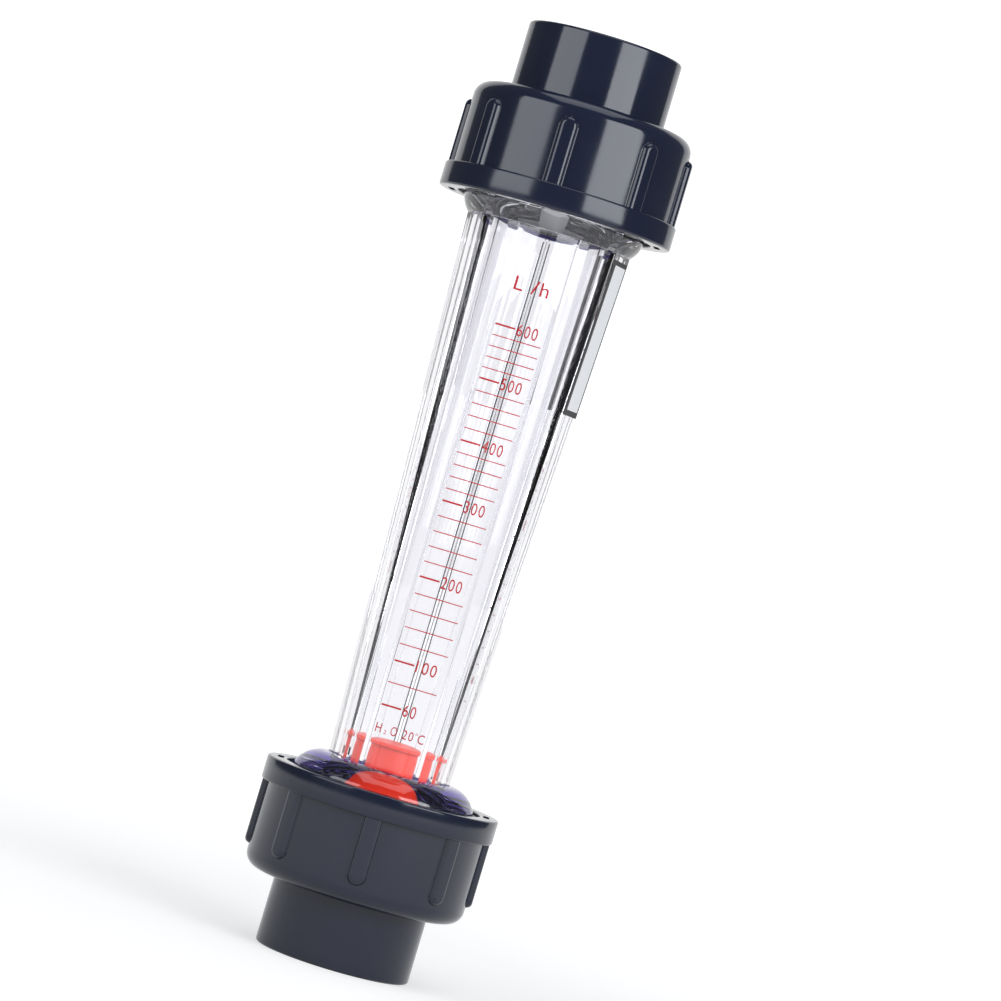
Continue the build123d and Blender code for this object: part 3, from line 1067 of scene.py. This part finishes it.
def sweepMaterial():
    # Glows for the camera, in reflections and through the clear wall, and keeps the shadows
    material, tree, shader = newMaterial("paleSweep")
    tree.nodes.remove(shader)
    place = tree.nodes.new("ShaderNodeTexCoord").outputs["Object"]
    path = tree.nodes.new("ShaderNodeLightPath").outputs
    axes = tree.nodes.new("ShaderNodeSeparateXYZ")
    tree.links.new(place, axes.inputs["Vector"])
    reach = tree.nodes.new("ShaderNodeVectorMath")
    reach.operation = "LENGTH"
    tree.links.new(place, reach.inputs[0])
    rise = rangeNode(
        tree, reach.outputs["Value"], *studio["glowReach"], studio["glowNear"], studio["glowFar"],
    )
    floorFade = rangeNode(tree, axes.outputs["Y"], *studio["floorDark"], studio["frontThroughClear"], 1)
    through = mathNode(tree, "MULTIPLY", path["Is Transmission Ray"], floorFade)
    bent = mathNode(tree, "MAXIMUM", path["Is Glossy Ray"], through)
    dimmed = mathNode(tree, "MULTIPLY", bent, studio["glowThroughClear"])
    seen = mathNode(tree, "MAXIMUM", path["Is Camera Ray"], dimmed)
    glow = tree.nodes.new("ShaderNodeEmission")
    glow.inputs["Color"].default_value = (1, 1, 1, 1)
    tree.links.new(mathNode(tree, "MULTIPLY", seen, rise), glow.inputs["Strength"])
    diffuse = tree.nodes.new("ShaderNodeBsdfDiffuse")
    diffuse.inputs["Color"].default_value = studio["sweepColour"]
    join = tree.nodes.new("ShaderNodeAddShader")
    tree.links.new(diffuse.outputs[0], join.inputs[0])
    tree.links.new(glow.outputs[0], join.inputs[1])
    tree.links.new(join.outputs[0], tree.nodes["Material Output"].inputs["Surface"])
    return material


def makeSweep():
    half, curve, back = studio["sweepHalf"], studio["sweepCurve"], studio["sweepBack"]
    line = [(-studio["sweepFront"], 0)]
    for step in range(studio["curveSteps"] + 1):
        angle = pi / 2 * step / studio["curveSteps"]
        line.append((back - curve + curve * sin(angle), curve * (1 - cos(angle))))
    line.append((back, studio["sweepHigh"]))
    bm = bmesh.new()
    verts = [bm.verts.new((-half, y, z)) for y, z in line]
    edges = [bm.edges.new(pair) for pair in zip(verts, verts[1:])]
    moved = bmesh.ops.extrude_edge_only(bm, edges=edges)["geom"]
    farSide = [each for each in moved if isinstance(each, bmesh.types.BMVert)]
    bmesh.ops.translate(bm, verts=farSide, vec=(2 * half, 0, 0))
    bmesh.ops.recalc_face_normals(bm, faces=bm.faces)
    sweep = asObject(bm, "sweep")
    sweep.data.polygons.foreach_set("use_smooth", [True] * len(sweep.data.polygons))
    sweep.data.materials.append(sweepMaterial())


def softLamp(name, place, aim, width, height, power):
    data = bpy.data.lights.new(name, "AREA")
    data.shape = "RECTANGLE"
    data.size = width
    data.size_y = height
    data.energy = power
    data.color = studio["lampColour"]
    lamp = bpy.data.objects.new(name, data)
    bpy.context.collection.objects.link(lamp)
    lamp.location = place
    lamp.rotation_euler = (Vector(aim) - Vector(place)).to_track_quat("-Z", "Y").to_euler()
    lamp.visible_camera = False


makeSweep()
for name, side in (("leftLamp", "left"), ("rightLamp", "right")):
    angle = radians(studio[side + "Turn"])
    lampMiddle = studio["lampLow"] + studio["lampHeight"] / 2
    place = (studio["lampDistance"] * sin(angle), -studio["lampDistance"] * cos(angle), lampMiddle)
    aim = (0, 0, lampMiddle)
    softLamp(name, place, aim, studio["lampWidth"], studio["lampHeight"], studio[side + "Power"])
topSize = studio["topSize"]
softLamp("topLamp", studio["topPlace"], studio["topAim"], topSize, topSize, studio["topPower"])

world = bpy.data.worlds.new("world")
bpy.context.scene.world = world
world.use_nodes = True
worldTree = world.node_tree
sky = worldTree.nodes["Background"]
sky.inputs["Color"].default_value = (1, 1, 1, 1)
worldPath = worldTree.nodes.new("ShaderNodeLightPath").outputs
worldPlace = worldTree.nodes.new("ShaderNodeTexCoord").outputs["Generated"]
worldAxes = worldTree.nodes.new("ShaderNodeSeparateXYZ")
worldTree.links.new(worldPlace, worldAxes.inputs["Vector"])
frontDark = rangeNode(
    worldTree, worldAxes.outputs["Y"], *studio["worldDark"],
    studio["frontThroughClear"], studio["worldThroughClear"],
)
throughClear = rangeNode(worldTree, worldPath["Is Transmission Ray"], 0, 1, studio["worldLevel"], frontDark)
skyLevel = rangeNode(worldTree, worldPath["Is Camera Ray"], 0, 1, throughClear, 1)
worldTree.links.new(skyLevel, sky.inputs["Strength"])
bpy.context.scene.view_settings.view_transform = "Standard"
print("studio done")
